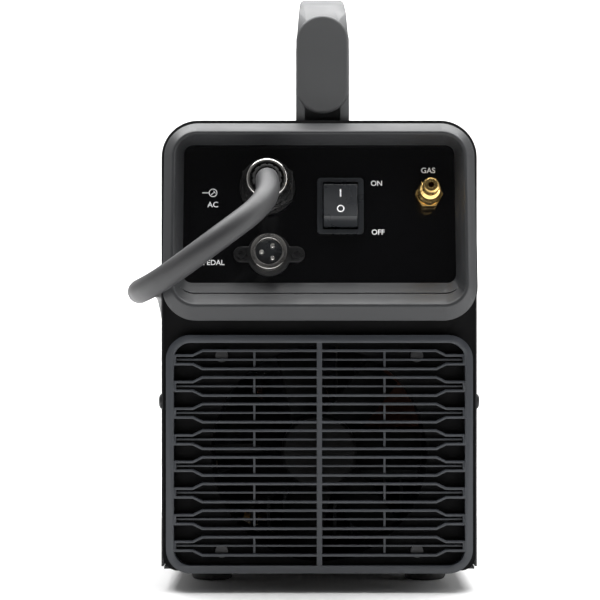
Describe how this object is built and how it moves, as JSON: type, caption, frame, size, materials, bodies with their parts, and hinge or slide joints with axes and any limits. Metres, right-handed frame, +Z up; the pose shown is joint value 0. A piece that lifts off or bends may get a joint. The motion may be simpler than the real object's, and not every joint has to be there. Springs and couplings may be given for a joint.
{
  "type": "tig welding machine",
  "caption": "Portable inverter TIG welder: black sheet-metal case, grey bezels, fan grille, carrying handle, rear mains lead, switch, gas and pedal fittings.",
  "frame": {"origin": "centre of the base on the floor, between the feet, measured without the mains lead", "axes": "+Z up, -Y out of the rear panel with the mains lead, +Y out of the front controls, +X to the right as seen from the rear"},
  "size_m": [0.2119, 0.6666, 0.327],
  "materials": {
    "cover_paint": "satin black powder coat",
    "black_plastic": "satin moulded black",
    "bezel_grey": "fine-grained mid grey",
    "panel_gloss": "glossy black film on a plate",
    "grille_grey": "dark slate grey moulding",
    "handle_grey": "light grey moulding",
    "handle_dark": "dark grey inlay",
    "switch_black": "moulded black",
    "gland_black": "moulded black nylon",
    "rubber_black": "black rubber",
    "lead_black": "black cable sheath",
    "socket_metal": "nickel plated shell",
    "pin_metal": "bright plated pins",
    "brass": "turned brass",
    "tray_steel": "black powder coated steel",
    "zinc_steel": "zinc plated",
    "black_steel": "blackened screws",
    "fan_plastic": "black fan moulding",
    "circuit": "green circuit board",
    "aluminium": "extruded aluminium",
    "ferrite": "ferrite core",
    "copper": "copper winding",
    "can": "sleeved capacitor cans",
    "knob_plastic": "black knob",
    "button_plastic": "red push button",
    "window_glass": "dark red display window",
    "lens": "tinted indicator lens"
  },
  "bodies": {
    "machine": {"rear_housing": "black_plastic", "front_housing": "black_plastic", "rear_bezel": "bezel_grey", "front_bezel": "bezel_grey", "rear_panel_plate": "panel_gloss", "control_plate": "panel_gloss", "rear_grille": "grille_grey", "connector_plate": "grille_grey", "rear_switch_body": "switch_black", "gland_body": "gland_black", "gland_nut": "gland_black", "gland_seal": "rubber_black", "pedal_socket_shell": "socket_metal", "pedal_socket_insert": "switch_black", "pedal_socket_pins": "pin_metal", "pedal_socket_screws": "black_steel", "gas_inlet": "brass", "gas_inlet_nut": "brass", "cover": "cover_paint", "base_tray": "tray_steel", "foot_1": "rubber_black", "foot_2": "rubber_black", "foot_3": "rubber_black", "foot_4": "rubber_black", "foot_screws": "zinc_steel", "cover_screws": "black_steel", "handle_body": "handle_grey", "handle_rear_cap": "handle_dark", "handle_front_cap": "handle_dark", "fan_frame": "fan_plastic", "fan_screws": "black_steel", "heatsink": "aluminium", "power_board": "circuit", "board_standoffs": "zinc_steel", "bulk_capacitors": "can", "transformer_core": "ferrite", "transformer_winding": "copper", "output_inductor": "copper", "control_board": "circuit", "solenoid_valve": "brass", "display_window": "window_glass", "indicator_lenses": "lens", "output_contact_negative": "brass", "output_contact_positive": "brass", "output_insulators": "switch_black", "torch_socket_shell": "socket_metal", "torch_socket_insert": "switch_black", "torch_socket_pins": "pin_metal", "gas_outlet": "brass", "mains_lead": "lead_black", "mains_lead_coil": "lead_black", "mains_plug": "rubber_black", "lead_tie": "rubber_black"},
    "rocker": {"rear_switch_rocker": "switch_black"},
    "fan": {"fan_rotor": "fan_plastic"},
    "current_knob": {"current_knob": "knob_plastic"},
    "downslope_knob": {"downslope_knob": "knob_plastic"},
    "postflow_knob": {"postflow_knob": "knob_plastic"},
    "mode_button": {"mode_button": "button_plastic"},
    "trigger_button": {"trigger_button": "button_plastic"}
  },
  "joints": [
    {"name": "rocker_tilt", "type": "hinge", "parent": "machine", "child": "rocker", "pos_m": [0.0114, -0.17803, 0.20676], "axis": [1, 0, 0], "range_deg": [0, 24]},
    {"name": "fan_spin", "type": "hinge", "parent": "machine", "child": "fan", "pos_m": [0, -0.165, 0.07415], "axis": [0, -1, 0], "continuous": true},
    {"name": "current_knob_turn", "type": "hinge", "parent": "machine", "child": "current_knob", "pos_m": [-0.038, 0.18124, 0.2013], "axis": [0, 0.9781, 0.2079], "range_deg": [-150, 150]},
    {"name": "downslope_knob_turn", "type": "hinge", "parent": "machine", "child": "downslope_knob", "pos_m": [0.052, 0.18498, 0.1837], "axis": [0, 0.9781, 0.2079], "range_deg": [-150, 150]},
    {"name": "postflow_knob_turn", "type": "hinge", "parent": "machine", "child": "postflow_knob", "pos_m": [0.022, 0.18498, 0.1837], "axis": [0, 0.9781, 0.2079], "range_deg": [-150, 150]},
    {"name": "mode_button_press", "type": "slide", "parent": "machine", "child": "mode_button", "axis": [0, -0.9781, -0.2079], "range_m": [0, 0.001], "stiffness_N_per_m": 400},
    {"name": "trigger_button_press", "type": "slide", "parent": "machine", "child": "trigger_button", "axis": [0, -0.9781, -0.2079], "range_m": [0, 0.001], "stiffness_N_per_m": 400}
  ]
}
